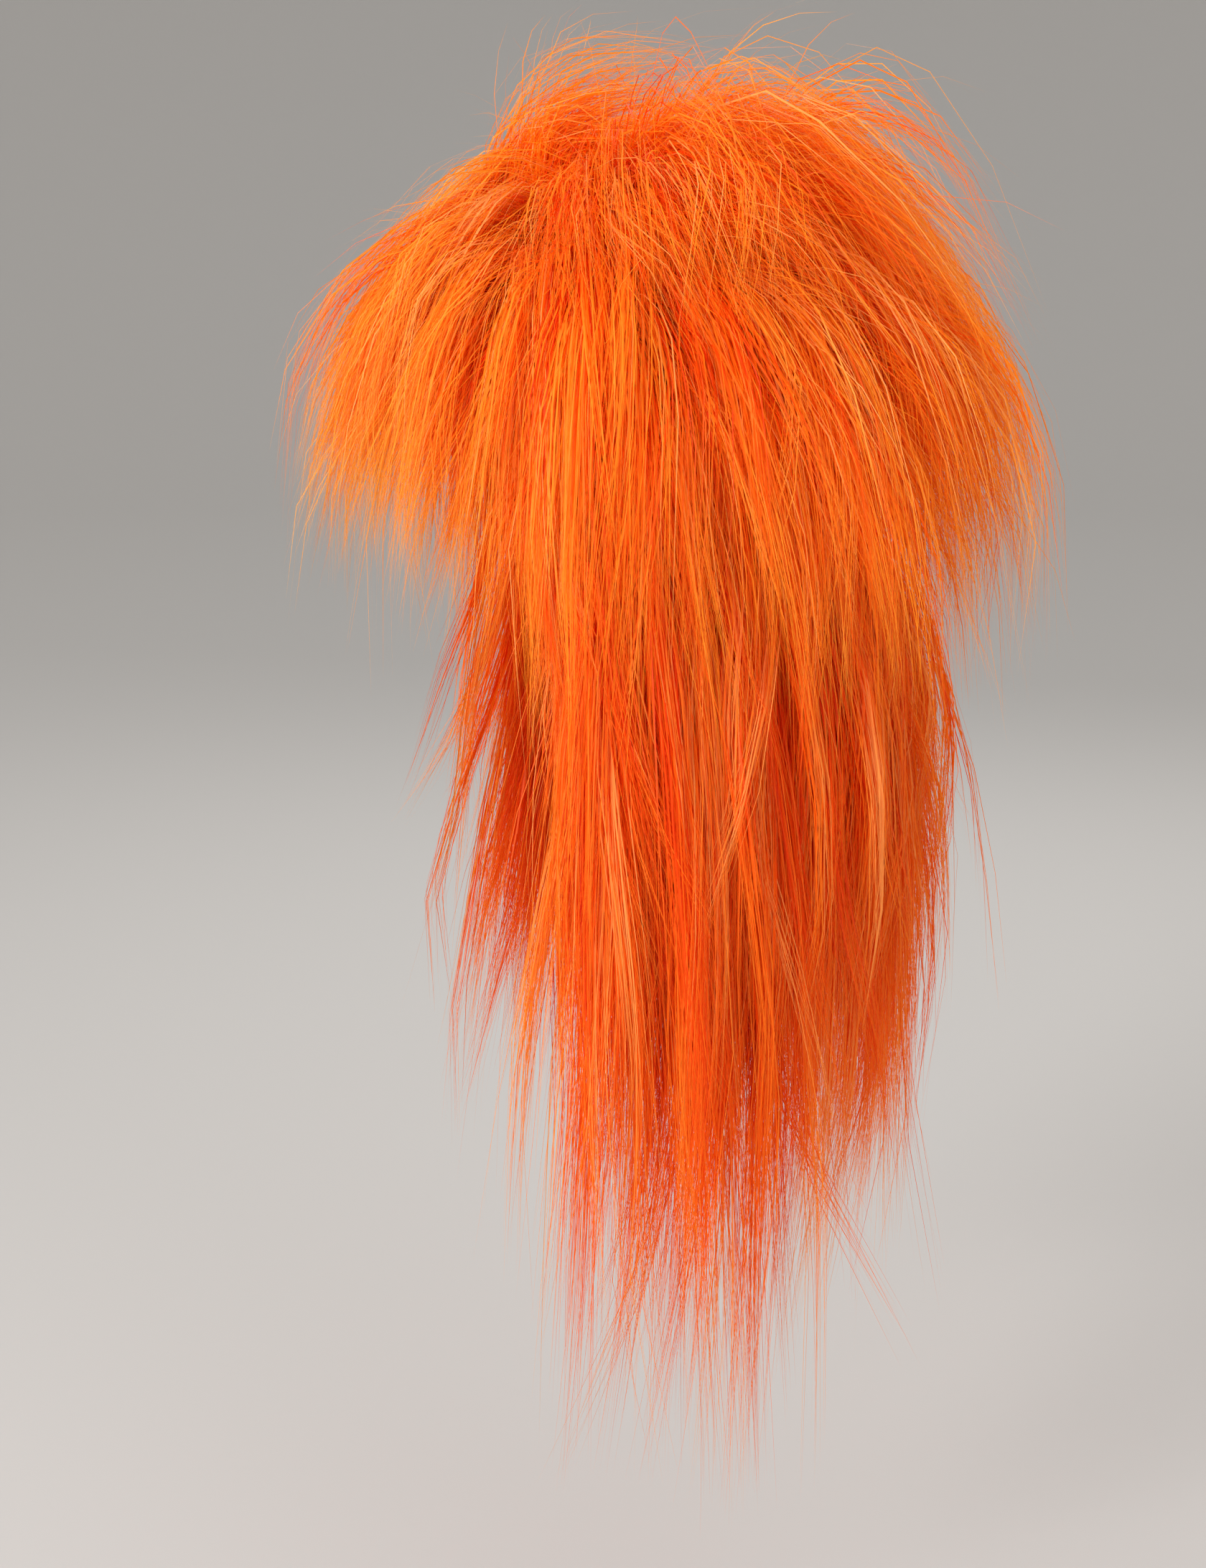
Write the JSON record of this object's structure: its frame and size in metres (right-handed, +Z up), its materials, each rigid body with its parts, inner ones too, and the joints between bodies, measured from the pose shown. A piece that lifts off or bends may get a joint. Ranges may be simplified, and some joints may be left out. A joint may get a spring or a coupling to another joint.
{
  "type": "mullet wig",
  "caption": "Long-pile mullet wig with a teased crown, a full fringe, shaggy side and back layers and long tails that hang from the cap's edge.",
  "frame": {"origin": "the inside of the cap where the crown of the head meets it", "axes": "+Z up, -Y the way the wearer's face looks, +X towards the wearer's left"},
  "size_m": [0.3259, 0.3818, 0.6886],
  "materials": {
    "cap_backing": "matt knitted backing",
    "crown_pile": "long straight acrylic pile, teased up",
    "fringe_pile": "long straight acrylic pile",
    "side_pile": "long straight acrylic pile",
    "back_pile": "long straight acrylic pile, spiky",
    "tail_pile": "extra long straight acrylic pile"
  },
  "bodies": {
    "root": {"cap": "cap_backing", "crown_layer": "crown_pile", "fringe": "fringe_pile", "left_side_layer": "side_pile", "right_side_layer": "side_pile", "back_layer": "back_pile", "left_front_tail": "tail_pile", "left_back_tail": "tail_pile", "nape_tail": "tail_pile", "right_back_tail": "tail_pile", "right_front_tail": "tail_pile"}
  },
  "joints": []
}
